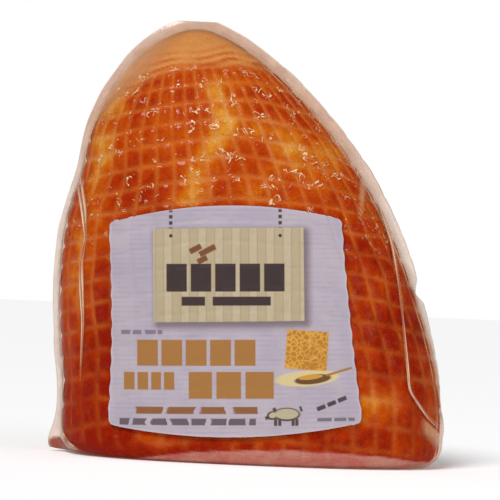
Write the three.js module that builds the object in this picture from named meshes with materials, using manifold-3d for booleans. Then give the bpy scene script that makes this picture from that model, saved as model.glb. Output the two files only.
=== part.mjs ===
import * as THREE from "three";
import { mergeVertices } from "three/addons/utils/BufferGeometryUtils.js";
import Module from "manifold-3d";

// A glazed half ham standing on its cut face, sealed in a close-fitting clear bag,
// with a printed label on the front of the bag.
// Millimetres. +Z up, +X to the right seen from the front, the front towards -Y.
// The base plane is Z = 0.

// Ham body
const HAM_TOP = 197;
const APEX_X = -29;
const LEFT_X = -88.5;
const RIGHT_X = 88;
const LEFT_SHOULDER = 85;
const RIGHT_SHOULDER = 17.5;
const LEFT_POWER = 2;
const LEFT_ROOT = 0.5;
const RIGHT_POWER = 1.75;
const RIGHT_ROOT = 0.72;
const FOOT_TUCK = 3;
const WAIST_Z = 128;
const WAIST_DEEP = 2.1;
const WAIST_SPREAD = 14;
const HALF_DEPTH = 54;
const DEPTH_SHOULDER = 62;
const DEPTH_POWER = 2.6;
const DEPTH_ROOT = 0.5;
const OVAL_POWER = 2.35;
const EDGE_R = 9.5;
const APEX_ROUND = 0.4;

// Film edge standing out round the outline, half way through the depth
const SKIRT_T = 1;
const SKIRT_LEFT = 3;
const SKIRT_RIGHT_LOW = 1.4;
const SKIRT_RIGHT_HIGH = 5.2;
const SKIRT_APEX = 4.6;
const SKIRT_TOP_Z = 200;
const CORNER_FLAP = 2.8;
const CORNER_FLAP_Z = 14;
const CORNER_FLAP_SPREAD = 9;

// Label
const LABEL_T = 0.6;
const LABEL_GAP = 0.35;
const LABEL_LOW_LEFT = [-63, 15];
const LABEL_LOW_RIGHT = [50, 20.5];
const LABEL_HIGH_LEFT = [-66.5, 106.5];
const LABEL_HIGH_RIGHT = [36.5, 112];
const LABEL_TOP_BOW = 6;
const LABEL_BOTTOM_BOW = 5;
const LABEL_LEFT_DRAW = 1.6;
const LABEL_RIGHT_DRAW = 0.8;
const LABEL_CORNER_R = 3.5;

// Fineness
const AROUND = 64;
const EDGE_RINGS = 5;
const SIDE_RINGS = 14;
const CROWN_RINGS = 16;
const SKIRT_STEPS = 60;
const LABEL_ACROSS = 26;
const LABEL_UP = 22;
const LABEL_CORNER_STEPS = 4;

const wasm = await Module();
wasm.setup();

const bell = (value, middle, spread) => Math.exp(-(((value - middle) / spread) ** 2));

// Share of the full width left at height z, from 1 at the shoulder to 0 at the top.
function taper(z, shoulder, power, root) {
  const t = THREE.MathUtils.clamp((z - shoulder) / (HAM_TOP - shoulder), 0, 1);
  return (1 - t ** power) ** root;
}

// How far the rounded lower edge draws the section in at height z.
function edgeInset(z) {
  const rise = Math.max(EDGE_R - z, 0);
  return EDGE_R - Math.sqrt(EDGE_R ** 2 - rise ** 2);
}

function leftAt(z) {
  const share = taper(z, LEFT_SHOULDER, LEFT_POWER, LEFT_ROOT);
  const tuck = FOOT_TUCK * Math.max(1 - z / LEFT_SHOULDER, 0) ** 2;
  const waist = WAIST_DEEP * bell(z, WAIST_Z, WAIST_SPREAD);
  return APEX_X + (LEFT_X - APEX_X) * share + tuck + waist;
}

function rightAt(z) {
  const share = taper(z, RIGHT_SHOULDER, RIGHT_POWER, RIGHT_ROOT);
  return APEX_X + (RIGHT_X - APEX_X) * share;
}

const depthAt = (z) => HALF_DEPTH * taper(z, DEPTH_SHOULDER, DEPTH_POWER, DEPTH_ROOT);

// Horizontal section of the ham at height z: middle, half width and half depth.
function sectionAt(z) {
  const inset = edgeInset(z);
  const left = leftAt(z) + inset;
  const right = rightAt(z) - inset;
  return {
    middle: (left + right) / 2,
    wide: (right - left) / 2,
    deep: depthAt(z) - inset,
  };
}

// The front surface's distance from the middle plane at (x, z).
function frontDepth(x, z) {
  const { middle, wide, deep } = sectionAt(z);
  const share = Math.min(Math.abs(x - middle) / wide, 1);
  return deep * (1 - share ** OVAL_POWER) ** (1 / OVAL_POWER);
}

// A point on the front surface, moved out by a distance along the surface's normal.
function frontPoint(x, z, out) {
  const reach = 0.5;
  const acrossSlope = (frontDepth(x + reach, z) - frontDepth(x - reach, z)) / (2 * reach);
  const upSlope = (frontDepth(x, z + reach) - frontDepth(x, z - reach)) / (2 * reach);
  const normal = new THREE.Vector3(-acrossSlope, -1, -upSlope).normalize();
  return new THREE.Vector3(x, -frontDepth(x, z), z).addScaledVector(normal, out);
}

function indexedGeometry(points, faces) {
  const geometry = new THREE.BufferGeometry();
  geometry.setAttribute(
    "position",
    new THREE.Float32BufferAttribute(points.flatMap((p) => p.toArray()), 3),
  );
  geometry.setIndex(faces.flat());
  return geometry;
}

// Heights of the rings: close together on the rounded edge and near the top.
function ringHeights() {
  const heights = [];
  for (let i = 0; i < EDGE_RINGS; i += 1) {
    heights.push(EDGE_R * (1 - Math.cos((i / EDGE_RINGS) * (Math.PI / 2))));
  }
  for (let i = 0; i < SIDE_RINGS; i += 1) {
    heights.push(THREE.MathUtils.lerp(EDGE_R, WAIST_Z, i / SIDE_RINGS));
  }
  for (let i = 0; i < CROWN_RINGS; i += 1) {
    const turn = (i / CROWN_RINGS) * (Math.PI / 2);
    heights.push(THREE.MathUtils.lerp(WAIST_Z, HAM_TOP, Math.sin(turn)));
  }
  return heights;
}

function ringPoints(z) {
  const { middle, wide, deep } = sectionAt(z);
  const points = [];
  for (let i = 0; i < AROUND; i += 1) {
    const turn = (i / AROUND) * 2 * Math.PI;
    const c = Math.cos(turn);
    const s = Math.sin(turn);
    const x = Math.sign(c) * Math.abs(c) ** (2 / OVAL_POWER);
    const y = Math.sign(s) * Math.abs(s) ** (2 / OVAL_POWER);
    points.push(new THREE.Vector3(middle + wide * x, deep * y, z));
  }
  return points;
}

// The ham's body: rings from the flat cut face up to the apex.
function hamGeometry() {
  const heights = ringHeights();
  const points = heights.flatMap((z) => ringPoints(z));
  const faces = [];
  for (let ring = 0; ring < heights.length - 1; ring += 1) {
    for (let i = 0; i < AROUND; i += 1) {
      const next = (i + 1) % AROUND;
      const low = ring * AROUND;
      const high = low + AROUND;
      faces.push([low + i, low + next, high + next], [low + i, high + next, high + i]);
    }
  }
  const lastRing = (heights.length - 1) * AROUND;
  const foot = points.push(new THREE.Vector3(sectionAt(0).middle, 0, 0)) - 1;
  const apex = points.push(new THREE.Vector3(APEX_X, 0, HAM_TOP - APEX_ROUND)) - 1;
  for (let i = 0; i < AROUND; i += 1) {
    const next = (i + 1) % AROUND;
    faces.push([foot, next, i], [lastRing + i, lastRing + next, apex]);
  }
  return indexedGeometry(points, faces);
}

// A point of the film edge: the outline's point at height z moved out along its normal.
function skirtPoint(edgeAt, side, z, margin) {
  const reach = 0.5;
  const low = Math.max(z - reach, 0);
  const high = Math.min(z + reach, HAM_TOP);
  const run = (edgeAt(high) - edgeAt(low)) * side;
  const normal = new THREE.Vector2(high - low, -run).normalize();
  const flap = CORNER_FLAP * bell(z, CORNER_FLAP_Z, CORNER_FLAP_SPREAD);
  const x = edgeAt(z) + side * ((margin + flap) * normal.x - edgeInset(z));
  return new THREE.Vector2(x, Math.min(z + margin * Math.max(normal.y, 0), SKIRT_TOP_Z));
}

// The film edge: the ham's outline with a margin, cut flat along the top, as a thin plate.
function skirtGeometry() {
  const { lerp, smoothstep } = THREE.MathUtils;
  const left = [];
  const right = [];
  for (let i = 0; i <= SKIRT_STEPS; i += 1) {
    const z = HAM_TOP * Math.sin((i / SKIRT_STEPS) * (Math.PI / 2));
    const crown = smoothstep(z, WAIST_Z, HAM_TOP);
    const rise = smoothstep(z, RIGHT_SHOULDER, WAIST_Z);
    const leftMargin = lerp(SKIRT_LEFT, SKIRT_APEX, crown);
    const rightMargin = lerp(lerp(SKIRT_RIGHT_LOW, SKIRT_RIGHT_HIGH, rise), SKIRT_APEX, crown);
    left.push(skirtPoint(leftAt, -1, z, leftMargin));
    right.push(skirtPoint(rightAt, 1, z, rightMargin));
  }
  const outline = new THREE.Shape([...right, ...left.reverse()]);
  const plate = new THREE.ExtrudeGeometry(outline, { depth: SKIRT_T, bevelEnabled: false });
  plate.rotateX(Math.PI / 2);
  plate.translate(0, SKIRT_T / 2, 0);
  plate.deleteAttribute("normal");
  plate.deleteAttribute("uv");
  return mergeVertices(plate, 1e-4);
}

function solidOf(geometry) {
  return new wasm.Manifold(
    new wasm.Mesh({
      numProp: 3,
      vertProperties: new Float32Array(geometry.getAttribute("position").array),
      triVerts: new Uint32Array(geometry.index.array),
    }),
  );
}

function geometryOf(solid) {
  const mesh = solid.getMesh();
  const geometry = new THREE.BufferGeometry();
  geometry.setAttribute(
    "position",
    new THREE.Float32BufferAttribute(mesh.vertProperties, 3),
  );
  geometry.setIndex(Array.from(mesh.triVerts));
  return geometry;
}

// Shares up the label's height, close together where the corners are rounded.
function labelRows(height) {
  const corner = LABEL_CORNER_R / height;
  const rows = [];
  for (let i = 0; i < LABEL_CORNER_STEPS; i += 1) {
    rows.push(corner * (1 - Math.cos((i / LABEL_CORNER_STEPS) * (Math.PI / 2))));
  }
  const upper = rows.map((share) => 1 - share).reverse();
  for (let i = 0; i <= LABEL_UP; i += 1) {
    rows.push(THREE.MathUtils.lerp(corner, 1 - corner, i / LABEL_UP));
  }
  return [...rows, ...upper];
}

// Where the label's point at shares (across, up) lies on the front, as [x, z].
function labelPlace(across, up, height) {
  const fromEnd = Math.min(up, 1 - up) * height;
  const rise = Math.max(LABEL_CORNER_R - fromEnd, 0);
  const draw = LABEL_CORNER_R - Math.sqrt(LABEL_CORNER_R ** 2 - rise ** 2);
  const bow = 1 - (2 * across - 1) ** 2;
  const lerp = THREE.MathUtils.lerp;
  const pulled = 1 - (2 * up - 1) ** 2;
  const leftLine = lerp(LABEL_LOW_LEFT[0], LABEL_HIGH_LEFT[0], up) + LABEL_LEFT_DRAW * pulled;
  const rightLine = lerp(LABEL_LOW_RIGHT[0], LABEL_HIGH_RIGHT[0], up) - LABEL_RIGHT_DRAW * pulled;
  const left = leftLine + draw;
  const right = rightLine - draw;
  const low = lerp(LABEL_LOW_LEFT[1], LABEL_LOW_RIGHT[1], across) - LABEL_BOTTOM_BOW * bow;
  const high = lerp(LABEL_HIGH_LEFT[1], LABEL_HIGH_RIGHT[1], across) + LABEL_TOP_BOW * bow;
  return [lerp(left, right, across), lerp(low, high, up)];
}

// The label: a thin sheet bent over the front, a small gap away from the bag.
function labelGeometry() {
  const height = LABEL_HIGH_LEFT[1] - LABEL_LOW_LEFT[1];
  const rows = labelRows(height);
  const columns = LABEL_ACROSS + 1;
  const points = [];
  for (const out of [LABEL_GAP, LABEL_GAP + LABEL_T]) {
    for (const up of rows) {
      for (let i = 0; i < columns; i += 1) {
        const [x, z] = labelPlace(i / LABEL_ACROSS, up, height);
        points.push(frontPoint(x, z, out));
      }
    }
  }
  const sheet = rows.length * columns;
  const faces = [];
  const quad = (a, b, c, d) => faces.push([a, b, c], [a, c, d]);
  for (let row = 0; row < rows.length - 1; row += 1) {
    for (let i = 0; i < LABEL_ACROSS; i += 1) {
      const a = row * columns + i;
      const b = a + columns;
      quad(a, b, b + 1, a + 1);
      quad(sheet + a, sheet + a + 1, sheet + b + 1, sheet + b);
    }
    const left = row * columns;
    const right = left + LABEL_ACROSS;
    quad(left, sheet + left, sheet + left + columns, left + columns);
    quad(right, right + columns, sheet + right + columns, sheet + right);
  }
  const last = sheet - columns;
  for (let i = 0; i < LABEL_ACROSS; i += 1) {
    quad(i, i + 1, sheet + i + 1, sheet + i);
    quad(last + i, sheet + last + i, sheet + last + i + 1, last + i + 1);
  }
  return indexedGeometry(points, faces);
}

function namedMesh(name, geometry, color, roughness) {
  const material = new THREE.MeshStandardMaterial({ color, roughness, metalness: 0 });
  const mesh = new THREE.Mesh(geometry, material);
  mesh.name = name;
  return mesh;
}

const packed = geometryOf(solidOf(hamGeometry()).add(solidOf(skirtGeometry())));

const pieces = new THREE.Group();
pieces.add(namedMesh("bag_with_ham", packed, 0xb5561f, 0.25));
pieces.add(namedMesh("label", labelGeometry(), 0xb8acb4, 0.6));

// The middle of the whole, seen from above, is put at the origin.
const middle = new THREE.Box3().setFromObject(pieces).getCenter(new THREE.Vector3());
pieces.position.set(-middle.x, -middle.y, 0);

const root = new THREE.Group();
root.name = "glazed_ham";
root.add(pieces);

export default root;
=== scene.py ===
import math

import bpy
import numpy as np
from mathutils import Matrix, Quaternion, Vector, noise


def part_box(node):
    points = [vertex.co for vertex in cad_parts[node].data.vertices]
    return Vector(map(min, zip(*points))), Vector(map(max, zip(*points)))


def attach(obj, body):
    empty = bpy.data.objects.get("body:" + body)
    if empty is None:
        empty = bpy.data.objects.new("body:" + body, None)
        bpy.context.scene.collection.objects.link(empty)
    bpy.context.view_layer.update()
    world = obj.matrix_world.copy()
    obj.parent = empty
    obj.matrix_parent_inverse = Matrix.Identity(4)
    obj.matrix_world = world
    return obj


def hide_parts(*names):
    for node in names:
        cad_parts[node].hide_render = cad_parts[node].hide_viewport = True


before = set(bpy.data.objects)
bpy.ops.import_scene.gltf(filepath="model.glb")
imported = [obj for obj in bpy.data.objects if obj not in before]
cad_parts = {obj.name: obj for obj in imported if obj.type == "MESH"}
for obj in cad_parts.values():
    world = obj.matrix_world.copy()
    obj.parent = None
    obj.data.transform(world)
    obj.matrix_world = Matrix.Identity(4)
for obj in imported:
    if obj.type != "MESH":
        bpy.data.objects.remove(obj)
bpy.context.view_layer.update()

MM = 0.001
FRONT = -1.0
BACK = 1.0

# Form of the half ham in millimetres, as in the CAD, standing on its cut face
HAM_TOP = 197.0
APEX_X = -29.0
LEFT_X = -88.5
RIGHT_X = 88.0
LEFT_SHOULDER = 85.0
RIGHT_SHOULDER = 17.5
FOOT_TUCK = 3.0
WAIST_Z = 128.0
WAIST_DEEP = 2.1
WAIST_SPREAD = 14.0
HALF_DEPTH = 54.0
DEPTH_SHOULDER = 62.0
DEPTH_POWER = 2.6
OVAL_POWER = 2.35
EDGE_R = 9.5

# Unevenness of the outline that the plain solid leaves out: how much, at which height, how far up and down
LEFT_FULL = 1.3
LEFT_FULL_Z = 78.0
LEFT_FULL_SPREAD = 32.0
LEFT_LEAN = 1.0
LEFT_LEAN_Z = 33.0
LEFT_LEAN_SPREAD = 14.0
RIGHT_LEAN = 1.7
RIGHT_LEAN_Z = 78.0
RIGHT_LEAN_SPREAD = 34.0

# The net's marks in the glaze
NET_COLUMNS = 43
COLUMN_SWAY = 0.22
ROW_SWAY = 0.16
ROW_WIDE_LOW = 12.4
ROW_CLOSING = 0.025
HIGHEST_ROW_Z = 1.4 * HAM_TOP
ROW_PEAK_X = -10.0
ROW_LEFT_REACH = 78.0
ROW_LEFT_DROP = 15.0
ROW_RIGHT_REACH = 50.0
ROW_RIGHT_DROP = 2.5
ROW_CROWN_DROP = 10.0
ROW_CROWN_FROM = 100.0
ROW_CROWN_FULL = 165.0
OVAL_GIRTH = 5.1 / 1.62
GROOVE_HALF = 1.05
GROOVE_DEEP = 0.6
PILLOW_HIGH = 0.25

# The smooth end above the net, which reaches further down on the left, and the ridges of rind below it
CAP_Z = 179.5
CAP_LEFT_FROM = -35.0
CAP_LEFT_REACH = 42.0
CAP_LEFT_DROP = 30.0
RIDGE_HIGH = 0.4
RIDGE_Z = 181.5
RIDGE_SPREAD = 7.5
RIDGE_APART = 3.7

# The pink cut face shows along the lower edge
CUT_RISE = 7.6
CUT_MIDDLE = 22.0
CUT_REACH = 76.0

# The clear film, and the places where it stands off the ham
FILM_OFF = 0.15
FILM_GATHER = 0.46
BRIDGE_LEFT = 14.0
BRIDGE_LEFT_Z = 176.0
BRIDGE_LEFT_SPREAD = 16.0
WEDGE_TOP_X = 48.6
WEDGE_TOP_Z = 137.0
WEDGE_TIP_X = 45.4
WEDGE_TIP_Z = 109.0
WEDGE_HALF = 2.4
CORNER_X = 76.0
CORNER_Z = 26.0
CORNER_WIDE = 10.0

# The film's sealed edge: how far it stands out, and its thin crest and soft root in section
SKIRT_LEFT = 3.0
SKIRT_RIGHT_LOW = 0.5
SKIRT_RIGHT_HIGH = 5.2
SKIRT_APEX = 4.6
SKIRT_TOP_Z = 200.0
CREST_SHARE = 0.62
CREST_THIN = 1.1
ROOT_THICK = 5.5
EDGE_WAVER = 0.9
EDGE_WAVE_LONG = 9.0

# Where the sealed edge steps in on the right: height, share of its width lost, spread
TEARS = ((79.0, 0.8, 3.5), (30.0, 0.9, 6.0))

# The sealed edge's loose flaps, and the low left corner that holds a little of the ham's juice
LEFT_FLAP = 3.4
LEFT_FLAP_Z = 4.0
RIGHT_FLAP = 0.9
RIGHT_FLAP_Z = 18.0
FLAP_SPREAD = 8.0
CORNER_FILL = 0.7
JUICE_Z = 5.8

# The label
LABEL_OFF = 0.4
LABEL_T = 0.45
LABEL_LOW_LEFT = (-63.0, 15.0)
LABEL_LOW_RIGHT = (50.0, 20.5)
LABEL_HIGH_LEFT = (-66.5, 106.5)
LABEL_HIGH_RIGHT = (36.5, 112.0)
LABEL_TOP_BOW = 6.0
LABEL_BOTTOM_BOW = 5.0
LABEL_LEFT_DRAW = 1.6
LABEL_RIGHT_DRAW = 0.8
LABEL_CORNER_R = 3.5
LABEL_WIDE = 110.0
LABEL_HIGH = 95.0
LABEL_RIPPLE = 0.22
LABEL_CROWDING = 0.012
LABEL_MIDDLE = (-9.9, 65.7)
LABEL_TILT = math.radians(2.6)
PRINT_UNIT = 1.024 * MM

# Fineness of the pieces: steps round and up, and the share of the steps up that lies under the foot
HAM_MESH = (400, 248)
HAM_FOOT_SHARE = 0.05
FILM_MESH = (300, 220)
FILM_FOOT_SHARE = 0.06
LABEL_MESH = (210, 180)
PLEAT_STEPS_WIDE = 12
PLEAT_STEPS_LONG = 30

bag_low, bag_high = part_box("bag_with_ham")
MIDDLE_Y = (bag_low.y + bag_high.y) / 2 / MM


# ---- form ----------------------------------------------------------------------------------

def bell(value, middle, spread):
    return np.exp(-(((value - middle) / spread) ** 2))


def smooth(value, low, high):
    """Rises softly from 0 at low to 1 at high."""
    t = np.clip((value - low) / (high - low), 0.0, 1.0)
    return t * t * (3.0 - 2.0 * t)


def fade(value, low, high):
    """Falls softly from 1 at low to 0 at high."""
    return smooth(-value, -high, -low)


def taper(z, shoulder, power, root):
    """Share of the full width left at height z."""
    t = np.clip((z - shoulder) / (HAM_TOP - shoulder), 0.0, 1.0)
    return (1.0 - t ** power) ** root


def edge_inset(z):
    """How far the rounded lower edge draws the section in."""
    rise = np.maximum(EDGE_R - z, 0.0)
    return EDGE_R - np.sqrt(np.maximum(EDGE_R ** 2 - rise ** 2, 0.0))


def left_at(z):
    """Where the left side of the outline stands at height z."""
    share = taper(z, LEFT_SHOULDER, 2.0, 0.5)
    tuck = FOOT_TUCK * np.maximum(1.0 - z / LEFT_SHOULDER, 0.0) ** 2
    tuck += WAIST_DEEP * bell(z, WAIST_Z, WAIST_SPREAD)
    tuck += LEFT_LEAN * bell(z, LEFT_LEAN_Z, LEFT_LEAN_SPREAD)
    tuck -= LEFT_FULL * bell(z, LEFT_FULL_Z, LEFT_FULL_SPREAD)
    return APEX_X + (LEFT_X - APEX_X) * share + tuck


def right_at(z):
    """Where the right side of the outline stands at height z."""
    lean = RIGHT_LEAN * bell(z, RIGHT_LEAN_Z, RIGHT_LEAN_SPREAD)
    return APEX_X + (RIGHT_X - APEX_X) * taper(z, RIGHT_SHOULDER, 1.75, 0.72) - lean


def section(z):
    """Middle, half width and half depth of the ham's level section."""
    inset = edge_inset(z)
    left = left_at(z) + inset
    right = right_at(z) - inset
    deep = HALF_DEPTH * taper(z, DEPTH_SHOULDER, DEPTH_POWER, 0.5) - inset
    return (left + right) / 2, (right - left) / 2, deep


def oval(turn):
    """Point of the rounded-oval section of half width and half depth 1."""
    c, s = np.cos(turn), np.sin(turn)
    return np.sign(c) * np.abs(c) ** (2 / OVAL_POWER), np.sign(s) * np.abs(s) ** (2 / OVAL_POWER)


def profile_line():
    """The way from the middle of the foot out to the edge and up to the apex: run, height, share."""
    edge = EDGE_R * (1 - np.cos(np.linspace(0, math.pi / 2, 30)))
    side = EDGE_R + (HAM_TOP - EDGE_R) * np.sin(np.linspace(0, math.pi / 2, 500)[1:])
    z = np.concatenate([edge, side])
    _, wide, deep = section(z)
    reach = np.sqrt(np.maximum(wide * deep, 0.0))
    z = np.concatenate([[0.0], z])
    share = np.concatenate([[0.0], np.ones(len(reach))])
    reach = np.concatenate([[0.0], reach])
    run = np.concatenate([[0.0], np.cumsum(np.hypot(np.diff(reach), np.diff(z)))])
    return run, z, share


def place_on_form(turn, rise, foot_share):
    """Points in millimetres for turns round the ham and rises from the foot's middle to the apex."""
    run, height, share = profile_line()
    foot_run = run[1]
    along = np.where(
        rise < foot_share,
        rise / foot_share * foot_run,
        foot_run + (rise - foot_share) / (1 - foot_share) * (run[-1] - foot_run),
    )
    z = np.interp(along, run, height)
    part = np.interp(along, run, share)
    middle, wide, deep = section(z)
    x, y = oval(turn)
    return np.stack([middle + part * wide * x, MIDDLE_Y + part * deep * y, z], axis=1)


def front_depth(x, z):
    """How far the front stands out from the middle plane."""
    middle, wide, deep = section(z)
    share = np.minimum(np.abs(x - middle) / wide, 1.0)
    return deep * (1 - share ** OVAL_POWER) ** (1 / OVAL_POWER)


def front_points(x, z, out, side=FRONT):
    """Points on the front or the back of the ham, a distance out along the normal."""
    reach = 0.5
    across = (front_depth(x + reach, z) - front_depth(x - reach, z)) / (2 * reach)
    up = (front_depth(x, z + reach) - front_depth(x, z - reach)) / (2 * reach)
    normal = np.stack([-across, np.full_like(across, side), -up], axis=1)
    normal /= np.linalg.norm(normal, axis=1)[:, None]
    base = np.stack([x, MIDDLE_Y + side * front_depth(x, z), z], axis=1)
    return base + normal * np.broadcast_to(out, x.shape)[:, None]


def drift(points, size, seed=0.0):
    """Smooth unevenness from -1 to 1 at each point, with features about size millimetres wide."""
    shift = Vector((seed, 2.3 * seed, -1.7 * seed))
    return np.array([noise.noise(Vector(p) / size + shift) for p in points])


# ---- net -----------------------------------------------------------------------------------

def around_share(x, y, z):
    """Share of the way round the section, by the length of the section's line."""
    middle, wide, deep = section(z)
    side = np.sign(y) * np.minimum(np.abs(y) / np.maximum(deep, 0.01), 1.0) ** (OVAL_POWER / 2)
    front = np.clip((x - middle) / np.maximum(wide, 0.01), -1.0, 1.0)
    front = np.sign(front) * np.abs(front) ** (OVAL_POWER / 2)
    turns = np.linspace(-math.pi, math.pi, 721)
    ox, oy = oval(turns)
    step = np.hypot(np.diff(ox * RIGHT_X), np.diff(oy * HALF_DEPTH))
    length = np.concatenate([[0.0], np.cumsum(step)])
    return np.interp(np.arctan2(side, front), turns, length / length[-1])


def lifted(x, z):
    """Height with the bend of the net's rows taken out, as the rows drop to both sides."""
    to_left = np.maximum(ROW_PEAK_X - x, 0.0) / ROW_LEFT_REACH
    to_right = np.maximum(x - ROW_PEAK_X, 0.0) / ROW_RIGHT_REACH
    right_drop = ROW_RIGHT_DROP + ROW_CROWN_DROP * smooth(z, ROW_CROWN_FROM, ROW_CROWN_FULL)
    return z + ROW_LEFT_DROP * to_left ** 1.4 + right_drop * to_right ** 2


def net_rows(x, z):
    """Row number of the net, counted along the height; the rows lie closer towards the top."""
    height = np.minimum(lifted(x, z), HIGHEST_ROW_Z)
    return -np.log(1.0 - ROW_CLOSING * height / ROW_WIDE_LOW) / ROW_CLOSING


def crown_ridges(points):
    """Low broad ridges of rind, close together and broken, that run round the smooth end."""
    height = lifted(points[:, 0], points[:, 2]) + 2.6 * drift(points, 15.0, 7.0)
    wave = smooth(np.cos(2 * math.pi * height / RIDGE_APART), -0.5, 0.9)
    broken = 0.35 + 0.65 * smooth(drift(points, 11.0, 21.0), -0.25, 0.15)
    return wave * broken * bell(height, RIDGE_Z, RIDGE_SPREAD)


def bare_crown(x, z, sway):
    """Share of the smooth end without net marks."""
    reach = np.maximum(CAP_LEFT_FROM - x, 0.0) / CAP_LEFT_REACH
    return smooth(z + CAP_LEFT_DROP * reach ** 1.5 + 2.0 * sway, CAP_Z - 3.0, CAP_Z + 3.0)


def net_marks(points):
    """Groove (0 to 1) and pillow (0 to 1) of the net at each point, and the bare crown's share."""
    x, y, z = points[:, 0], points[:, 1] - MIDDLE_Y, points[:, 2]
    sway = drift(points, 24.0, 1.0)
    column = around_share(x, y, z) * NET_COLUMNS + COLUMN_SWAY * sway
    row = net_rows(x, z) + ROW_SWAY * drift(points, 21.0, 5.0)
    _, wide, deep = section(z)
    column_mm = OVAL_GIRTH * (wide + np.maximum(deep, 0.1)) / NET_COLUMNS
    row_mm = ROW_WIDE_LOW - ROW_CLOSING * z
    from_column = np.abs(column - np.round(column)) * column_mm
    from_row = np.abs(row - np.round(row)) * row_mm
    half = GROOVE_HALF * (1.0 + 0.35 * fade(z, 30.0, 90.0))
    upright = bell(from_column, 0.0, np.minimum(half, 0.3 * column_mm))
    level = bell(from_row, 0.0, half)
    groove = 1.0 - (1.0 - upright) * (1.0 - level)
    pillow = np.abs(np.sin(math.pi * column) * np.sin(math.pi * row))
    crown = bare_crown(x, z, sway)
    keep = (1.0 - crown) * smooth(z, 3.0, 9.0)
    return groove * keep, pillow * keep, crown


# ---- mesh help -----------------------------------------------------------------------------

def deselect_all():
    for thing in bpy.context.selected_objects:
        thing.select_set(False)


def name_piece(name):
    piece = bpy.context.object
    piece.name = name
    piece.data.name = name
    return piece


def read_points(piece):
    flat = np.empty(len(piece.data.vertices) * 3)
    piece.data.vertices.foreach_get("co", flat)
    return flat.reshape(-1, 3)


def write_points(piece, points):
    piece.data.vertices.foreach_set("co", np.asarray(points, dtype=float).ravel())
    piece.data.update()


def read_normals(piece):
    flat = np.empty(len(piece.data.vertices) * 3)
    piece.data.vertex_normals.foreach_get("vector", flat)
    return flat.reshape(-1, 3)


def write_mark(piece, name, values):
    mark = piece.data.attributes.new(name, "FLOAT", "POINT")
    mark.data.foreach_set("value", np.clip(values, 0.0, 1.0).astype(np.float32))


def face_outwards():
    """Turns the faces of the piece in hand the right way out."""
    bpy.ops.object.mode_set(mode="EDIT")
    bpy.ops.mesh.select_all(action="SELECT")
    bpy.ops.mesh.normals_make_consistent(inside=False)
    bpy.ops.object.mode_set(mode="OBJECT")


def apply_modifier(piece, kind, **settings):
    modifier = piece.modifiers.new(kind.title(), kind)
    for key, value in settings.items():
        setattr(modifier, key, value)
    bpy.context.view_layer.objects.active = piece
    bpy.ops.object.modifier_apply(modifier=modifier.name)


def settle(piece, slot, *nodes):
    """Hands a finished piece over in place of its CAD nodes."""
    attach(piece, "root")
    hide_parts(*nodes)


def ball(name, segments, rings):
    """A round start with its poles below and above, as turns and rises."""
    deselect_all()
    bpy.ops.mesh.primitive_uv_sphere_add(segments=segments, ring_count=rings, radius=1.0)
    piece = name_piece(name)
    points = read_points(piece)
    turn = np.arctan2(points[:, 1], points[:, 0])
    rise = np.arccos(np.clip(-points[:, 2], -1.0, 1.0)) / math.pi
    return piece, turn, rise


# ---- node help -----------------------------------------------------------------------------

def add_node(tree, kind, **settings):
    node = tree.nodes.new(kind)
    for key, value in settings.items():
        setattr(node, key, value)
    return node


def feed(tree, socket, value):
    """Puts a number on a socket, or joins another socket to it."""
    if isinstance(value, bpy.types.NodeSocket):
        tree.links.new(value, socket)
    else:
        socket.default_value = value


def sum_up(tree, how, first, second=0.0, third=None, clamp=False):
    """One step of arithmetic on numbers or sockets."""
    node = add_node(tree, "ShaderNodeMath", operation=how, use_clamp=clamp)
    feed(tree, node.inputs[0], first)
    feed(tree, node.inputs[1], second)
    if third is not None:
        feed(tree, node.inputs[2], third)
    return node.outputs[0]


def times(tree, first, second, clamp=False):
    return sum_up(tree, "MULTIPLY", first, second, clamp=clamp)


def spread(tree, value, low, high, to_low=0.0, to_high=1.0):
    """Goes softly from one value to another as the given value goes from low to high."""
    node = add_node(tree, "ShaderNodeMapRange", interpolation_type="SMOOTHSTEP")
    for socket, number in zip(node.inputs[:5], (value, low, high, to_low, to_high)):
        feed(tree, socket, number)
    return node.outputs[0]


def blend_colour(tree, share, first, second, how="MIX"):
    node = add_node(tree, "ShaderNodeMix", data_type="RGBA", blend_type=how)
    feed(tree, node.inputs[0], share)
    feed(tree, node.inputs[6], first)
    feed(tree, node.inputs[7], second)
    return node.outputs[2]


def paint(red, green, blue):
    """A colour given as it looks on a screen, 0 to 255, as the linear colour that shaders use."""
    def linear(part):
        part /= 255.0
        return part / 12.92 if part <= 0.04045 else ((part + 0.055) / 1.055) ** 2.4
    return (linear(red), linear(green), linear(blue), 1.0)


def object_place(tree):
    return add_node(tree, "ShaderNodeTexCoord").outputs["Object"]


def across_and_up(tree, place):
    """The place's X and Z as numbers."""
    parts = add_node(tree, "ShaderNodeSeparateXYZ")
    feed(tree, parts.inputs[0], place)
    return parts.outputs["X"], parts.outputs["Z"]


def cloudiness(tree, place, size_mm, detail=3.0, rough=0.55):
    node = add_node(tree, "ShaderNodeTexNoise")
    feed(tree, node.inputs["Vector"], place)
    node.inputs["Scale"].default_value = 1.0 / (size_mm * MM)
    node.inputs["Detail"].default_value = detail
    node.inputs["Roughness"].default_value = rough
    return node.outputs["Fac"]


def curled_noise(tree, place, size_mm, curl):
    node = add_node(tree, "ShaderNodeTexNoise")
    feed(tree, node.inputs["Vector"], place)
    node.inputs["Scale"].default_value = 1.0 / (size_mm * MM)
    node.inputs["Distortion"].default_value = curl
    return node.outputs["Fac"]


def mark_of(tree, name):
    return add_node(tree, "ShaderNodeAttribute", attribute_name=name).outputs["Fac"]


def new_finish(name, **settings):
    """A material with one shader, whose even values are set on its own sockets."""
    finish = bpy.data.materials.new(name)
    finish.use_nodes = True
    tree = finish.node_tree
    shader = tree.nodes["Principled BSDF"]
    for key, value in settings.items():
        shader.inputs[key.replace("_", " ")].default_value = value
    return finish, tree, shader


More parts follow.
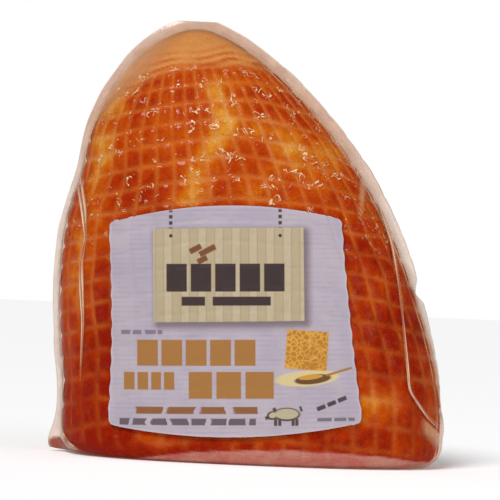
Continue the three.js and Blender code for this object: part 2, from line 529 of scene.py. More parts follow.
def bump(tree, shader, height, strength, distance_mm):
    node = add_node(tree, "ShaderNodeBump")
    node.inputs["Strength"].default_value = strength
    node.inputs["Distance"].default_value = distance_mm * MM
    feed(tree, node.inputs["Height"], height)
    feed(tree, shader.inputs["Normal"], node.outputs["Normal"])


# ---- ham -----------------------------------------------------------------------------------

# Golden areas of the glaze: middle x, middle z, half width, half height, strength
GOLD_STREAK = (
    (-22.0, 166.0, 5.0, 7.0, 1.0),
    (-16.5, 153.0, 6.0, 8.0, 1.0),
    (-21.0, 141.0, 7.0, 7.0, 0.8),
    (-27.0, 127.0, 6.0, 8.0, 1.0),
    (-33.0, 117.0, 8.0, 5.0, 0.8),
)
GOLD_PATCHES = (
    (12.0, 140.0, 8.0, 7.0, 0.9),
    (4.0, 151.0, 9.0, 5.0, 0.7),
    (-73.0, 138.0, 7.0, 14.0, 1.0),
    (-67.0, 158.0, 6.0, 5.0, 0.7),
    (32.0, 138.0, 9.0, 10.0, 0.5),
    (56.0, 30.0, 12.0, 9.0, 1.0),
    (40.0, 22.0, 12.0, 5.0, 0.5),
    (-44.0, 10.0, 10.0, 4.0, 0.45),
    (-80.0, 84.0, 7.0, 28.0, 0.75),
    (2.0, 124.0, 14.0, 7.0, 0.35),
    (87.0, 44.0, 8.0, 26.0, 1.0),
    (-60.0, 100.0, 12.0, 14.0, 0.25),
)


def glaze_gold(points):
    """Where the glaze is thick and golden: named areas on the front, drifting ones elsewhere."""
    x, y, z = points[:, 0], points[:, 1] - MIDDLE_Y, points[:, 2]
    gold = np.zeros(len(points))
    for middle_x, middle_z, wide, high, strength in GOLD_STREAK + GOLD_PATCHES:
        gold += strength * bell(x, middle_x, wide) * bell(z, middle_z, high)
    gold *= 1.0 + 0.5 * drift(points, 6.0, 12.0)
    behind = smooth(y, -8.0, 12.0)
    loose = smooth(drift(points, 30.0, 9.0), 0.0, 0.35)
    return gold * (1.0 - behind) + 0.8 * loose * behind


def make_ham():
    ham, turn, rise = ball("ham", *HAM_MESH)
    points = place_on_form(turn, rise, HAM_FOOT_SHARE)
    write_points(ham, points)
    normals = read_normals(ham)
    groove, pillow, crown = net_marks(points)
    z = points[:, 2]
    lump = drift(points, 34.0, 3.0) * 0.3 - 0.2
    depth = GROOVE_DEEP * (0.75 + 0.25 * smooth(z, 40.0, 120.0))
    ridges = crown_ridges(points)
    push = lump - depth * groove + PILLOW_HIGH * (pillow - 1.0) + RIDGE_HIGH * ridges
    push *= smooth(z, 0.5, 8.0)
    points = points + normals * push[:, None]
    write_points(ham, points * MM)
    bpy.ops.object.shade_smooth()
    write_mark(ham, "net_mark", groove)
    write_mark(ham, "glaze_gold", glaze_gold(points))
    write_mark(ham, "crown", crown)
    write_mark(ham, "ridge", ridges)
    edge = CUT_RISE * (1.0 - ((points[:, 0] - CUT_MIDDLE) / CUT_REACH) ** 2)
    edge = np.maximum(edge + 0.4 * drift(points, 12.0, 4.0), 0.4)
    write_mark(ham, "cut_face", fade(z - edge, -0.4, 0.4))
    ham.data.materials.append(ham_finish())
    settle(ham, "ham", "bag_with_ham")
    return ham


def ham_finish():
    finish, tree, shader = new_finish("honey_glazed_ham", Coat_Roughness=0.04, Specular_IOR_Level=0.03)
    place = object_place(tree)
    fine = cloudiness(tree, place, 6.0, 4.0, 0.65)
    net, crown = mark_of(tree, "net_mark"), mark_of(tree, "crown")
    up = across_and_up(tree, place)[1]
    high_up = spread(tree, up, 0.03, 0.15)
    colour = glaze_colour(tree, place, high_up, fine)
    net_show = spread(tree, cloudiness(tree, place, 14.0), 0.3, 0.7, 0.05, 0.4)
    net_show = sum_up(tree, "MULTIPLY_ADD", high_up, 0.35, net_show)
    gold = mark_of(tree, "glaze_gold")
    net_colour = blend_colour(tree, gold, paint(200, 108, 38), paint(210, 154, 90))
    colour = blend_colour(tree, times(tree, net, net_show), colour, net_colour)
    colour = blend_colour(tree, times(tree, crown, 0.8), colour, paint(208, 146, 80))
    ridge = times(tree, mark_of(tree, "ridge"), 0.9)
    colour = blend_colour(tree, ridge, colour, paint(184, 78, 12))
    colour = blend_colour(tree, mark_of(tree, "cut_face"), colour, meat_colour(tree, place))
    feed(tree, shader.inputs["Base Color"], colour)
    feed(tree, shader.inputs["Roughness"], spread(tree, fine, 0.3, 0.7, 0.35, 0.55))
    gloss = spread(tree, cloudiness(tree, place, 5.0, 3.0, 0.6), 0.46, 0.6, 0.01, 0.2)
    gloss = times(tree, gloss, spread(tree, up, 0.02, 0.12, 0.3, 1.0))
    feed(tree, shader.inputs["Coat Weight"], gloss)
    uneven = sum_up(tree, "MULTIPLY_ADD", fine, 0.5, curled_noise(tree, place, 2.6, 2.2))
    bump(tree, shader, uneven, 0.85, 0.9)
    return finish


def glaze_colour(tree, place, high_up, fine):
    """From dark red-brown low down, through orange, to amber where the glaze is thick."""
    warmth = times(tree, mark_of(tree, "glaze_gold"), 0.6)
    warmth = sum_up(tree, "MULTIPLY_ADD", high_up, 0.26, warmth)
    broad = spread(tree, cloudiness(tree, place, 26.0), 0.35, 0.7, -0.08, 0.2)
    warmth = sum_up(tree, "ADD", warmth, broad)
    warmth = sum_up(tree, "ADD", warmth, spread(tree, fine, 0.3, 0.7, -0.1, 0.14), clamp=True)
    ramp = add_node(tree, "ShaderNodeValToRGB")
    feed(tree, ramp.inputs[0], warmth)
    steps = ramp.color_ramp.elements
    steps[0].position, steps[0].color = 0.0, paint(138, 22, 0)
    steps[1].position, steps[1].color = 1.0, paint(206, 140, 46)
    for position, red, green, blue in ((0.25, 164, 46, 0), (0.5, 180, 70, 0), (0.75, 194, 106, 14)):
        step = steps.new(position)
        step.color = paint(red, green, blue)
    return ramp.outputs[0]


def meat_colour(tree, place):
    """Pink meat with soft paler streaks."""
    streak = cloudiness(tree, place, 11.0, 4.0, 0.6)
    return blend_colour(tree, spread(tree, streak, 0.35, 0.65), paint(184, 104, 92), paint(190, 132, 116))


# ---- film ----------------------------------------------------------------------------------

def skirt_margin(x, z):
    """How far the film's sealed edge stands out at each side and height."""
    crown = smooth(z, WAIST_Z, HAM_TOP)
    right = SKIRT_RIGHT_LOW + (SKIRT_RIGHT_HIGH - SKIRT_RIGHT_LOW) * smooth(z, RIGHT_SHOULDER, WAIST_Z)
    middle = section(z)[0]
    for tear_z, share, spread_z in TEARS:
        right = right * (1.0 - share * bell(z, tear_z, spread_z))
    side = np.where(x < middle, SKIRT_LEFT, right)
    left_flap = LEFT_FLAP * bell(z, LEFT_FLAP_Z, FLAP_SPREAD) + CORNER_FILL * edge_inset(z)
    right_flap = RIGHT_FLAP * bell(z, RIGHT_FLAP_Z, FLAP_SPREAD)
    return side + (SKIRT_APEX - side) * crown + np.where(x < middle, left_flap, right_flap)


def sealed_edge(away):
    """The sealed edge in section, 1 at its crest: a thin fin with a soft root."""
    return CREST_SHARE * np.exp(-away / CREST_THIN) + (1.0 - CREST_SHARE) * np.exp(-away / ROOT_THICK)


def outline_normal(x, z):
    """Outward direction of the ham's outline, seen from the front, at each point's side."""
    reach = 0.4
    low, high = np.maximum(z - reach, 0.0), np.minimum(z + reach, HAM_TOP)
    left = x < section(z)[0]
    run = np.where(left, left_at(low) - left_at(high), right_at(high) - right_at(low))
    nx, nz = high - low, -run
    size = np.hypot(nx, nz) + 1e-9
    return np.where(left, -nx, nx) / size, np.maximum(nz / size, 0.0)


def bridge(x, z, sway):
    """Where the film spans the hollow beside its sealed edge: 1 at the edge, 0 where it clings."""
    nx = outline_normal(x, z)[0]
    inward = np.minimum(x - left_at(z), right_at(z) - x) * np.abs(nx)
    left = x < section(z)[0]
    wide = 0.8 + BRIDGE_LEFT * bell(z, BRIDGE_LEFT_Z, BRIDGE_LEFT_SPREAD)
    return np.where(left, fade(inward - sway, 0.0, wide), fade(inward - sway, 0.2, 1.2))


def make_film():
    film, turn, rise = ball("clear_film", *FILM_MESH)
    clinging = place_on_form(turn - FILM_GATHER * np.sin(2 * turn), rise, FILM_FOOT_SHARE)
    write_points(film, clinging)
    x, y, z = clinging[:, 0], clinging[:, 1] - MIDDLE_Y, clinging[:, 2]
    fin = sealed_edge(np.abs(y))
    reach = skirt_margin(x, z) * (1.0 + 0.16 * drift(clinging, 13.0, 8.0)) * fin
    reach *= smooth(z, 0.0, 2.0)
    off = FILM_OFF + 0.1 * drift(clinging, 7.0, 6.0) - 0.25 * net_marks(clinging)[0]
    off *= smooth(z, 0.0, 4.0)
    points = clinging + read_normals(film) * off[:, None]
    nx, nz = outline_normal(x, z)
    points[:, 0] += nx * reach
    points[:, 1] += EDGE_WAVER * np.sin(z / EDGE_WAVE_LONG) * fin * smooth(z, 4.0, 30.0)
    points[:, 2] = np.minimum(points[:, 2] + nz * reach, SKIRT_TOP_Z)
    write_points(film, points * MM)
    bpy.ops.object.shade_smooth()
    mark_film(film, clinging, points, fin, reach)
    film.data.materials.append(film_finish())
    settle(film, "ham", "bag_with_ham")
    return film


def mark_film(film, clinging, points, fin, reach):
    """Marks where the film stands off the ham, is sealed, hangs loose or holds juice."""
    x, y, z = clinging[:, 0], clinging[:, 1] - MIDDLE_Y, clinging[:, 2]
    spanned = bridge(x, z, 0.8 * drift(points, 8.0, 11.0))
    spanned = np.maximum(spanned, loose_patches(x, z) * smooth(-y, 0.0, 6.0))
    hem = smooth(fin, 0.86, 0.97)
    juice = corner_juice(points, x, z) * smooth(reach, 0.1, 0.9) * (1.0 - 0.8 * hem)
    write_mark(film, "skirt", smooth(reach, 0.05, 0.8))
    write_mark(film, "bridge", np.maximum(spanned, smooth(reach, 0.02, 0.5)))
    write_mark(film, "hem", hem)
    write_mark(film, "slack", film_slack(x, z))
    write_mark(film, "juice", juice)


def loose_patches(x, z):
    """Two places on the front where the film stands off: a wedge below the shoulder, a low corner."""
    down = np.clip((WEDGE_TOP_Z - z) / (WEDGE_TOP_Z - WEDGE_TIP_Z), 0.0, 1.0)
    middle = WEDGE_TOP_X + (WEDGE_TIP_X - WEDGE_TOP_X) * down ** 0.6
    half = WEDGE_HALF * (1.0 - down) + 0.05
    wedge = smooth(half - np.abs(x - middle), -0.4, 0.5) * smooth(z, WEDGE_TIP_Z, WEDGE_TIP_Z + 4.0)
    wedge *= fade(z, WEDGE_TOP_Z, WEDGE_TOP_Z + 6.0)
    along = (x - CORNER_X) / CORNER_WIDE
    under = CORNER_Z - 9.0 * along - z
    corner = smooth(under, 0.0, 0.8) * fade(under, 4.0, 10.0) * smooth(along, 0.0, 0.5)
    return 0.8 * np.maximum(wedge, corner)


def corner_juice(points, x, z):
    """The ham's juices gather in the low left corner of the bag."""
    level = JUICE_Z + 2.4 * drift(points, 4.0, 14.0)
    return np.where(x < section(z)[0], fade(z - level, -0.8, 1.0), 0.0)


def film_slack(x, z):
    """The film hangs looser on the right, but for the places where its edge steps in."""
    slack = np.where(x > section(z)[0], 1.0, 0.35)
    for tear_z, share, spread_z in TEARS:
        slack = slack * (1.0 - share * bell(z, tear_z, spread_z))
    return slack


def film_finish():
    # The film's faint tan emission is painted light, which lifts its shaded, glancing parts.
    finish, tree, shader = new_finish(
        "clear_shrink_film", Roughness=0.25, IOR=1.45,
        Emission_Color=paint(216, 180, 156), Emission_Strength=0.06,
    )
    place = object_place(tree)
    # Painted highlights: cream glints in the film's colour and alpha, standing in for light caught by its
    # creases.
    painted_glint = painted_crease_glints(tree, place)
    colour = blend_colour(tree, painted_glint, film_colour(tree, place), paint(240, 214, 172))
    feed(tree, shader.inputs["Base Color"], colour)
    facing = add_node(tree, "ShaderNodeLayerWeight").outputs["Facing"]
    glancing = times(tree, spread(tree, facing, 0.68, 0.84), mark_of(tree, "slack"))
    haze = sum_up(tree, "MAXIMUM", mark_of(tree, "bridge"), glancing)
    patchy = spread(tree, cloudiness(tree, place, 9.0), 0.3, 0.7, 0.72, 0.95)
    clouded = times(tree, haze, patchy)
    feed(tree, shader.inputs["Alpha"], sum_up(tree, "MAXIMUM", clouded, painted_glint, clamp=True))
    bump(tree, shader, cloudiness(tree, place, 4.0, 3.0), 0.5, 0.6)
    return finish


def film_colour(tree, place):
    """Tan haze, whiter along the sealed edge and low at both sides, dark where the juice lies."""
    across, up = across_and_up(tree, place)
    to_side = sum_up(
        tree, "MAXIMUM",
        spread(tree, across, -0.05, 0.0, 0.75, 0.0),
        spread(tree, across, 0.03, 0.06, 0.0, 0.7),
    )
    white = times(tree, to_side, spread(tree, up, 0.1, 0.16, 1.0, 0.0))
    white = sum_up(tree, "MAXIMUM", white, times(tree, mark_of(tree, "hem"), 0.6))
    skirt = mark_of(tree, "skirt")
    white = times(tree, white, skirt)
    tan = spread(tree, cloudiness(tree, place, 11.0), 0.35, 0.65)
    tan = blend_colour(tree, tan, paint(196, 156, 132), paint(206, 172, 152))
    tan = blend_colour(tree, skirt, paint(208, 144, 92), tan)
    colour = blend_colour(tree, white, tan, paint(230, 216, 206))
    return blend_colour(tree, mark_of(tree, "juice"), colour, paint(138, 44, 22))


def painted_crease_glints(tree, place):
    """Painted highlights: short curling cream glints, as of film creases catching the light, mostly high
    on the front.
    """
    curl = curled_noise(tree, place, 7.0, 1.6)
    off_line = sum_up(tree, "ABSOLUTE", sum_up(tree, "SUBTRACT", curl, 0.5))
    thread = spread(tree, off_line, 0.006, 0.03, 1.0, 0.0)
    across, up = across_and_up(tree, place)
    crowded = spread(tree, across, -0.06, 0.0, -0.03, 0.01)
    spots = spread(tree, sum_up(tree, "ADD", cloudiness(tree, place, 5.0, 1.0), crowded), 0.58, 0.63)
    where = times(
        tree,
        spread(tree, up, 0.08, 0.125, 0.06, 0.85),
        spread(tree, up, 0.172, 0.182, 1.0, 0.0),
    )
    return times(tree, times(tree, thread, spots), where)


# Pleats of the film over the ham: points (x, z) along each, with its half width there
LEFT_PLEAT = (
    (-82.0, 125.0, 2.0), (-78.6, 111.0, 1.7), (-77.0, 99.0, 0.6), (-78.8, 88.0, 1.1),
    (-78.0, 76.0, 1.3), (-76.5, 60.0, 0.6), (-77.0, 34.0, 0.3),
)
RIGHT_PLEAT = (
    (52.0, 127.0, 1.2), (57.0, 112.0, 0.8), (61.0, 101.0, 0.9), (64.5, 84.0, 0.7), (67.3, 63.0, 0.5),
    (69.5, 46.0, 0.5), (70.7, 36.0, 0.5), (79.5, 24.5, 0.8), (85.5, 19.5, 1.1),
)
LEFT_HEM = ((-84.8, 9.5, 0.8), (-82.2, 5.2, 1.2), (-76.5, 2.6, 0.6))
BACK_PLEAT = ((60.0, 118.0, 0.4), (52.0, 96.0, 1.3), (47.0, 70.0, 0.9), (50.0, 48.0, 0.4))
BACK_LONG_PLEAT = ((-70.0, 142.0, 1.6), (-72.0, 112.0, 1.0), (-68.0, 80.0, 0.6), (-70.0, 52.0, 0.3))
PLEAT_OFF = 0.35
PLEAT_HIGH = 0.5
PLEAT_T = 0.1


def smoothed(values, shares):
    """Values along a pleat, with the corners between its given points rounded off."""
    run = np.interp(shares * (len(values) - 1), np.arange(len(values)), values)
    for _ in range(60):
        run[1:-1] = (run[:-2] + 2 * run[1:-1] + run[2:]) / 4
    return run


def lay_pleat(name, line, side=FRONT):
    """A gathered strip of film along a line, with two soft crests."""
    deselect_all()
    steps = PLEAT_STEPS_LONG * len(line)
    bpy.ops.mesh.primitive_grid_add(x_subdivisions=PLEAT_STEPS_WIDE, y_subdivisions=steps, size=1.0)
    pleat = name_piece(name)
    flat = read_points(pleat)
    across, along = 2.0 * flat[:, 0], flat[:, 1] + 0.5
    shares = np.linspace(0.0, 1.0, steps + 1)
    x, z, half = (smoothed(np.array(part), shares) for part in zip(*line))
    aside = np.stack([-np.gradient(z), np.gradient(x)])
    aside /= np.linalg.norm(aside, axis=0)
    px, pz, width, ax, az = (np.interp(along, shares, part) for part in (x, z, half, *aside))
    crest = bell(np.abs(across), 0.5, 0.25) * fade(np.abs(along - 0.5), 0.44, 0.5)
    crest *= 0.7 + 0.5 * np.sin(along * 11.0 + 1.3 * across)
    out = PLEAT_OFF + PLEAT_HIGH * crest
    points = front_points(px + across * width * ax, pz + across * width * az, out, side)
    write_points(pleat, points * MM)
    face_outwards()
    write_mark(pleat, "crest", crest)
    apply_modifier(pleat, "SOLIDIFY", thickness=PLEAT_T * MM, offset=-1.0)
    return pleat


def make_folds():
    """The film's pleats and its low left hem, joined into one piece."""
    parts = [
        lay_pleat("pleat_left", LEFT_PLEAT),
        lay_pleat("pleat_right", RIGHT_PLEAT),
        lay_pleat("hem_left", LEFT_HEM),
        lay_pleat("pleat_back", BACK_PLEAT, BACK),
        lay_pleat("pleat_back_long", BACK_LONG_PLEAT, BACK),
    ]
    deselect_all()
    for part in parts:
        part.select_set(True)
    bpy.context.view_layer.objects.active = parts[0]
    bpy.ops.object.join()
    folds = name_piece("film_folds")
    bpy.ops.object.shade_smooth_by_angle(angle=math.radians(50))
    folds.data.materials.append(fold_finish())
    settle(folds, "ham", "bag_with_ham")
    return folds


def fold_finish():
    finish, tree, shader = new_finish("folded_film", Roughness=0.18, IOR=1.45)
    crest = mark_of(tree, "crest")
    colour = blend_colour(tree, crest, paint(210, 146, 104), paint(232, 202, 176))
    feed(tree, shader.inputs["Base Color"], colour)
    cloud = spread(tree, cloudiness(tree, object_place(tree), 7.0, 1.0), 0.35, 0.65, 0.7, 1.0)
    shown = sum_up(tree, "MULTIPLY_ADD", crest, 0.85, 0.1)
    feed(tree, shader.inputs["Alpha"], times(tree, shown, cloud, clamp=True))
    return finish


# ---- label ---------------------------------------------------------------------------------

def label_places(across, up):
    """Where shares across and up the label lie on the front, as x and z."""
    height = LABEL_HIGH_LEFT[1] - LABEL_LOW_LEFT[1]
    rise = np.maximum(LABEL_CORNER_R - np.minimum(up, 1 - up) * height, 0.0)
    draw = LABEL_CORNER_R - np.sqrt(LABEL_CORNER_R ** 2 - rise ** 2)
    bow = 1 - (2 * across - 1) ** 2
    pulled = 1 - (2 * up - 1) ** 2
    left = LABEL_LOW_LEFT[0] + (LABEL_HIGH_LEFT[0] - LABEL_LOW_LEFT[0]) * up
    left = left + draw + LABEL_LEFT_DRAW * pulled
    right = LABEL_LOW_RIGHT[0] + (LABEL_HIGH_RIGHT[0] - LABEL_LOW_RIGHT[0]) * up
    right = right - draw - LABEL_RIGHT_DRAW * pulled
    low = LABEL_LOW_LEFT[1] + (LABEL_LOW_RIGHT[1] - LABEL_LOW_LEFT[1]) * across
    high = LABEL_HIGH_LEFT[1] + (LABEL_HIGH_RIGHT[1] - LABEL_HIGH_LEFT[1]) * across
    low, high = low - LABEL_BOTTOM_BOW * bow, high + LABEL_TOP_BOW * bow
    return left + (right - left) * across, low + (high - low) * up


def make_label():
    deselect_all()
    steps_across, steps_up = LABEL_MESH
    bpy.ops.mesh.primitive_grid_add(x_subdivisions=steps_across, y_subdivisions=steps_up, size=1.0)
    label = name_piece("label_sheet")
    flat = read_points(label)
    across, up = flat[:, 0] + 0.5, flat[:, 1] + 0.5
    up = up - LABEL_CROWDING * np.sin(2 * math.pi * up)
    x, z = label_places(across, up)
    under = front_points(x, z, 0.0)
    groove = net_marks(under)[0]
    to_side, to_end = np.minimum(across, 1 - across), np.minimum(up, 1 - up)
    edge = np.minimum(to_side * LABEL_WIDE, to_end * LABEL_HIGH)
    wave = LABEL_RIPPLE * np.sin(z * 0.75) * fade(to_side, 0.0, 0.05)
    out = LABEL_OFF + 0.28 - 0.3 * groove + 0.05 * drift(under, 9.0, 2.0)
    out = out + 0.1 * fade(edge, 0.0, 1.5)
    points = front_points(x + wave, z, out)
    write_points(label, points * MM)
    write_mark(label, "rim", fade(edge, 0.3, 0.9))
    face_outwards()
    apply_modifier(label, "SOLIDIFY", thickness=LABEL_T * MM, offset=1.0)
    bpy.ops.object.shade_smooth_by_angle(angle=math.radians(50))
    label.data.materials.append(label_finish())
    settle(label, "label", "label")
    return label


def new_group(name, inputs):
    """A node group with a Place input, number inputs and one Mask output."""
    group = bpy.data.node_groups.new(name, "ShaderNodeTree")
    group.interface.new_socket("Place", in_out="INPUT", socket_type="NodeSocketVector")
    for title, kind in inputs:
        group.interface.new_socket(title, in_out="INPUT", socket_type=kind)
    group.interface.new_socket("Mask", in_out="OUTPUT", socket_type="NodeSocketFloat")
    return group, add_node(group, "NodeGroupInput").outputs, add_node(group, "NodeGroupOutput").inputs


def vector_step(tree, how, first, second=None):
    node = add_node(tree, "ShaderNodeVectorMath", operation=how)
    feed(tree, node.inputs[0], first)
    if second is not None:
        feed(tree, node.inputs[1], second)
    return node.outputs["Value"] if how == "LENGTH" else node.outputs["Vector"]


def centred_place(group, given):
    """The place seen from the shape's middle and turned with it, flat on the label."""
    moved = vector_step(group, "SUBTRACT", given["Place"], given["Middle"])
    flat = vector_step(group, "MULTIPLY", moved, (1.0, 0.0, 1.0))
    turn = add_node(group, "ShaderNodeVectorRotate", rotation_type="Y_AXIS")
    feed(group, turn.inputs["Vector"], flat)
    feed(group, turn.inputs["Angle"], given["Turn"])
    return turn.outputs["Vector"]


SHAPE_INPUTS = (
    ("Middle", "NodeSocketVector"), ("Half Size", "NodeSocketVector"),
    ("Turn", "NodeSocketFloat"), ("Softness", "NodeSocketFloat"),
)


def block_group():
    """Mask of a block with slightly rounded corners."""
    group, given, out = new_group("print_block", SHAPE_INPUTS)
    near = vector_step(group, "ABSOLUTE", centred_place(group, given))
    past = vector_step(group, "SUBTRACT", near, given["Half Size"])
    past = vector_step(group, "LENGTH", vector_step(group, "MAXIMUM", past, (0.0, 0.0, 0.0)))
    feed(group, out["Mask"], spread(group, past, 0.0, given["Softness"], 1.0, 0.0))
    return group


def oval_group():
    """Mask of an oval."""
    group, given, out = new_group("print_oval", SHAPE_INPUTS)
    scaled = vector_step(group, "DIVIDE", centred_place(group, given), given["Half Size"])
    past = sum_up(group, "SUBTRACT", vector_step(group, "LENGTH", scaled), 0.85)
    feed(group, out["Mask"], spread(group, past, 0.0, given["Softness"], 1.0, 0.0))
    return group


class LabelPrint:
    """Lays inks over one another in the label's own millimetres, X across and Z up."""

    def __init__(self, tree):
        self.tree = tree
        self.block = block_group()
        self.oval = oval_group()
        turned = add_node(tree, "ShaderNodeMapping", vector_type="TEXTURE")
        feed(tree, turned.inputs["Vector"], object_place(tree))
        turned.inputs["Location"].default_value = (LABEL_MIDDLE[0] * MM, 0.0, LABEL_MIDDLE[1] * MM)
        turned.inputs["Rotation"].default_value = (0.0, -LABEL_TILT, 0.0)
        turned.inputs["Scale"].default_value = (PRINT_UNIT,) * 3
        self.place = turned.outputs["Vector"]
        self.x, self.z = across_and_up(tree, self.place)
        self.colour = paint(172, 161, 170)

    def cloud(self, size_mm, detail=3.0):
        node = add_node(self.tree, "ShaderNodeTexNoise")
        feed(self.tree, node.inputs["Vector"], self.place)
        node.inputs["Scale"].default_value = 1.0 / size_mm
        node.inputs["Detail"].default_value = detail
        return node.outputs["Fac"]

    def waves(self, along, long_mm):
        """Even waves from -1 to 1 along one direction."""
        return sum_up(self.tree, "SINE", times(self.tree, along, 2 * math.pi / long_mm))

    def shape(self, group, x, z, half_x, half_z, turn=0.0, soft=None):
        """Mask of one block or oval, from its middle, half sizes and turn in degrees."""
        node = add_node(self.tree, "ShaderNodeGroup", node_tree=group)
        feed(self.tree, node.inputs["Place"], self.place)
        node.inputs["Middle"].default_value = (x, 0.0, z)
        node.inputs["Half Size"].default_value = (half_x, 1.0, half_z)
        node.inputs["Turn"].default_value = math.radians(turn)
        crisp = 0.5 if group == self.block else 0.2
        node.inputs["Softness"].default_value = soft or crisp
        return node.outputs["Mask"]

    def ink(self, mask, colour, strength=1.0):
        """Prints a colour over what is there already."""
        share = times(self.tree, mask, strength)
        self.colour = blend_colour(self.tree, share, self.colour, colour)

    def either(self, masks):
        """One mask of all that any of the masks covers."""
        total = masks[0]
        for mask in masks[1:]:
            total = sum_up(self.tree, "MAXIMUM", total, mask)
        return total

    def blocks(self, left, z, half_high, widths, gap):
        """A row of upright blocks of the given widths."""
        masks = []
        for width in widths:
            masks.append(self.shape(self.block, left + width / 2, z, width / 2 - 0.4, half_high))
            left += width + gap
        return self.either(masks)

    def dashes(self, left, right, z, half_high, length):
        """A fine row of dashes of uneven lengths."""
        row = self.shape(self.block, (left + right) / 2, z, (right - left) / 2, half_high - 0.2)
        uneven = sum_up(self.tree, "MULTIPLY_ADD", self.cloud(5.0, 1.0), 5.0, self.x)
        wave = sum_up(self.tree, "FRACT", sum_up(self.tree, "DIVIDE", uneven, length))
        return times(self.tree, row, spread(self.tree, wave, 0.14, 0.24))


# The print, in the label's own millimetres and in degrees
LINEN_UP = 2.1
LINEN_ACROSS = 1.3
CHAINS_X = (-26.5, 21.0)
LINK_LONG = 2.7
BOARD_TURN = 0.4
SLAT_WIDE = 7.4
COMB_TURN = -4.0
CELL_WIDE = 2.1


def print_ground(work):
    """Lilac ground with fine lines across, like linen."""
    tree = work.tree
    work.ink(spread(tree, work.cloud(14.0), 0.35, 0.7), paint(156, 146, 162), 0.6)
    lines = work.waves(work.z, LINEN_UP)
    worn = spread(tree, work.cloud(6.0), 0.35, 0.65)
    broken = times(tree, spread(tree, lines, 0.2, 1.0), worn)
    work.ink(broken, paint(150, 142, 166), 0.4)
    dots = work.waves(work.x, LINEN_ACROSS)
    work.ink(times(tree, broken, spread(tree, dots, 0.0, 1.0)), paint(136, 128, 154), 0.35)


def print_board(work):
    """A cream board of upright slats with a soft shadow, hung on two short chains."""
    tree = work.tree
    for x in CHAINS_X:
        strap = work.shape(work.block, x, 42.0, 0.5, 5.4)
        links = work.waves(work.z, LINK_LONG)
        work.ink(times(tree, strap, spread(tree, links, -0.7, 0.3)), paint(62, 46, 40))
    shadow = work.shape(work.block, 0.0, 17.2, 31.6, 19.4, BOARD_TURN, 4.5)
    work.ink(shadow, paint(104, 88, 92), 0.85)
    board = work.shape(work.block, -1.4, 18.6, 32.4, 20.0, BOARD_TURN)
    work.ink(board, paint(170, 153, 124))
    slats = work.waves(work.x, SLAT_WIDE)
    work.ink(times(tree, board, spread(tree, slats, -0.5, 0.5)), paint(182, 167, 141), 0.7)
    joints = sum_up(tree, "ABSOLUTE", sum_up(tree, "COSINE", times(tree, work.x, 2 * math.pi / SLAT_WIDE)))
    seam = spread(tree, joints, 0.96, 1.0)
    work.ink(times(tree, board, seam), paint(150, 130, 96), 0.6)
    grain = times(tree, board, spread(tree, work.cloud(3.0, 5.0), 0.45, 0.75))
    work.ink(grain, paint(160, 142, 108), 0.35)
    for x in CHAINS_X:
        work.ink(work.shape(work.oval, x, 35.6, 0.8, 0.8), paint(60, 44, 40))


def print_blocks(work):
    """Plain blocks and dashes where a pack carries its words."""
    dark, gold = paint(52, 36, 36), paint(152, 104, 48)
    for x, z, half_x in ((-15.8, 29.9, 2.5), (-10.6, 29.2, 3.6), (-12.8, 25.2, 2.0)):
        work.ink(work.shape(work.block, x, z, half_x, 1.0, 27.0), paint(112, 66, 34))
    work.ink(work.blocks(-28.6, 17.4, 5.8, (9.2,) * 5, 1.4), dark)
    work.ink(work.blocks(-22.0, 7.2, 1.7, (10.5, 25.5), 3.0), dark)
    work.ink(work.dashes(-48.2, -30.5, -6.2, 0.9, 5.2), paint(120, 108, 122))
    work.ink(work.blocks(-41.5, -15.2, 5.4, (9.4,) * 5, 1.2), gold)
    work.ink(work.blocks(-47.4, -27.4, 3.6, (5.0, 5.0, 4.6, 4.8), 1.0), gold)
    work.ink(work.blocks(-19.0, -29.3, 5.6, (10.4, 11.0, 12.6), 1.6), gold)
    work.ink(work.dashes(-42.9, 12.4, -40.2, 1.5, 14.0), paint(128, 82, 44))
    work.ink(work.dashes(-49.0, 10.0, -45.2, 1.4, 8.5), paint(92, 80, 86))
    work.ink(work.dashes(36.6, 53.0, -44.4, 0.7, 6.5), paint(110, 98, 110))
    for x, z in ((38.6, -39.2), (43.2, -37.4), (47.8, -35.6)):
        work.ink(work.shape(work.block, x, z, 1.7, 0.7, 21.0), paint(66, 54, 58))


def print_honey(work):
    """A cut block of honeycomb, a spoon under it and a little spilt honey."""
    tree = work.tree
    work.ink(work.shape(work.oval, 32.5, -26.4, 14.5, 3.6, 4.0), paint(202, 182, 126), 0.9)
    comb = work.shape(work.block, 32.4, -14.2, 8.8, 8.2, COMB_TURN)
    work.ink(comb, paint(170, 112, 26))
    cells = add_node(tree, "ShaderNodeTexVoronoi", feature="DISTANCE_TO_EDGE")
    feed(tree, cells.inputs["Vector"], vector_step(tree, "MULTIPLY", work.place, (1.0, 0.0, 1.0)))
    cells.inputs["Scale"].default_value = 1.0 / CELL_WIDE
    walls = spread(tree, cells.outputs["Distance"], 0.04, 0.16, 1.0, 0.0)
    work.ink(times(tree, comb, walls), paint(206, 154, 64), 0.8)
    side = work.shape(work.block, 36.0, -15.5, 4.0, 5.8, COMB_TURN, 2.5)
    side = times(tree, side, spread(tree, work.cloud(4.0), 0.4, 0.7))
    work.ink(side, paint(168, 106, 24), 0.8)
    work.ink(work.shape(work.oval, 35.0, -26.8, 8.4, 2.2, 6.0), paint(96, 62, 26))
    work.ink(work.shape(work.oval, 34.0, -25.9, 5.6, 1.1, 6.0), paint(190, 136, 48))
    work.ink(work.shape(work.block, 46.4, -23.6, 5.6, 0.25, 16.0), paint(150, 106, 40))


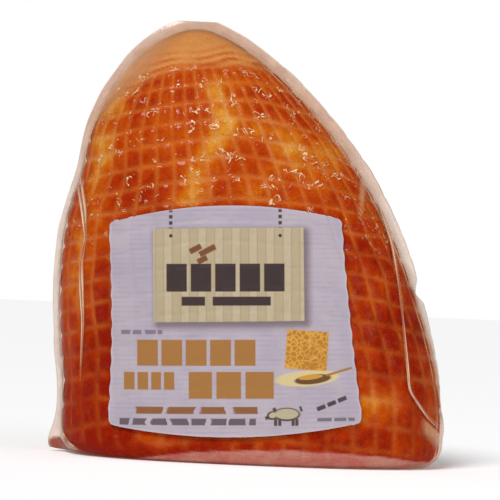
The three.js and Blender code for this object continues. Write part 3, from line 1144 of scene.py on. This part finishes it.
def print_animal(work):
    """A small plain pig from rounded shapes, dark round the edge and cream inside."""
    legs = [work.shape(work.block, x, -45.4, 0.45, 1.3) for x in (18.8, 20.6, 26.4, 28.0)]
    head = work.shape(work.oval, 17.4, -42.4, 2.6, 2.0, 14.0)
    snout = work.shape(work.block, 15.2, -43.4, 0.7, 0.5, 14.0)
    ear = work.shape(work.block, 18.4, -40.0, 0.5, 0.7, 30.0)
    tail = work.shape(work.block, 29.8, -39.6, 0.25, 0.9, 20.0)
    body = work.shape(work.oval, 23.6, -42.0, 6.2, 3.1)
    work.ink(work.either([body, head, snout, ear, tail] + legs), paint(72, 56, 50))
    inner_body = work.shape(work.oval, 23.6, -41.8, 5.4, 2.4)
    inner_head = work.shape(work.oval, 17.6, -42.3, 1.8, 1.3, 14.0)
    work.ink(work.either([inner_body, inner_head]), paint(178, 166, 136), 0.9)


def label_finish():
    finish, tree, shader = new_finish(
        "printed_label", Coat_Weight=0.15, Coat_Roughness=0.3, Specular_IOR_Level=0.3
    )
    work = LabelPrint(tree)
    print_ground(work)
    print_board(work)
    print_blocks(work)
    print_honey(work)
    print_animal(work)
    rim = mark_of(tree, "rim")
    work.ink(rim, paint(204, 194, 202), 0.3)
    feed(tree, shader.inputs["Base Color"], work.colour)
    feed(tree, shader.inputs["Roughness"], spread(tree, work.cloud(8.0), 0.3, 0.7, 0.42, 0.58))
    bump(tree, shader, work.cloud(1.2, 2.0), 0.25, 0.2)
    return finish


# ---- stage, light and camera ---------------------------------------------------------------

FLOOR_PALE = (0.95, 0.95, 0.95, 1.0)
FLOOR_GLOW = 0.12
KEY_FROM = (-0.4, -0.75, 1.1)
KEY_STRENGTH = 2.4
SIDE_FROM = (1.0, -0.8, 0.5)
SIDE_STRENGTH = 4.0
ROOM_LIGHT = 0.3
ROOM_SEEN = 1.0
CAMERA_AWAY = 1.6
CAMERA_ROLL = math.radians(2.45)
CAMERA_AIM = (-0.0032, 0.0, 0.0961)
CAMERA_LENS = 250.7


def make_floor():
    deselect_all()
    bpy.ops.mesh.primitive_plane_add(size=8.0, location=(0, 0, 0))
    floor = name_piece("floor")
    finish = new_finish(
        "plain_floor", Base_Color=FLOOR_PALE, Roughness=0.9,
        Emission_Color=FLOOR_PALE, Emission_Strength=FLOOR_GLOW,
    )[0]
    floor.data.materials.append(finish)


def aim(thing, place, target=(0.0, 0.0, 0.1)):
    """Turns a lamp to look from its place at the middle of the ham."""
    thing.rotation_mode = "QUATERNION"
    thing.rotation_quaternion = (Vector(target) - Vector(place)).to_track_quat("-Z", "Y")


def add_lamp(name, kind, place, energy, **settings):
    deselect_all()
    bpy.ops.object.light_add(type=kind, location=place)
    lamp = bpy.context.object
    lamp.name = name
    lamp.data.energy = energy
    for key, value in settings.items():
        setattr(lamp.data, key, value)
    aim(lamp, place)


def make_lights():
    add_lamp("key", "SUN", KEY_FROM, KEY_STRENGTH, angle=math.radians(22))
    add_lamp("side", "AREA", SIDE_FROM, SIDE_STRENGTH, size=0.9)
    world = bpy.context.scene.world or bpy.data.worlds.new("room")
    bpy.context.scene.world = world
    world.use_nodes = True
    tree = world.node_tree
    room = tree.nodes["Background"]
    room.inputs["Color"].default_value = (1.0, 1.0, 1.0, 1.0)
    seen = add_node(tree, "ShaderNodeLightPath").outputs["Is Camera Ray"]
    feed(tree, room.inputs["Strength"], spread(tree, seen, 0.0, 1.0, ROOM_LIGHT, ROOM_SEEN))


def make_camera():
    bpy.ops.object.camera_add()
    camera = bpy.context.object
    camera.name = "camera"
    ahead = Vector((0.0, 1.0, 0.0))
    camera.location = Vector(CAMERA_AIM) - ahead * CAMERA_AWAY
    camera.rotation_mode = "QUATERNION"
    camera.rotation_quaternion = ahead.to_track_quat("-Z", "Y") @ Quaternion((0.0, 0.0, 1.0), CAMERA_ROLL)
    camera.data.lens = CAMERA_LENS
    camera.data.clip_start = 0.01
    bpy.context.scene.camera = camera


make_ham()
make_film()
make_folds()
make_label()
make_floor()
make_lights()
make_camera()
bpy.context.scene.view_settings.view_transform = "Standard"
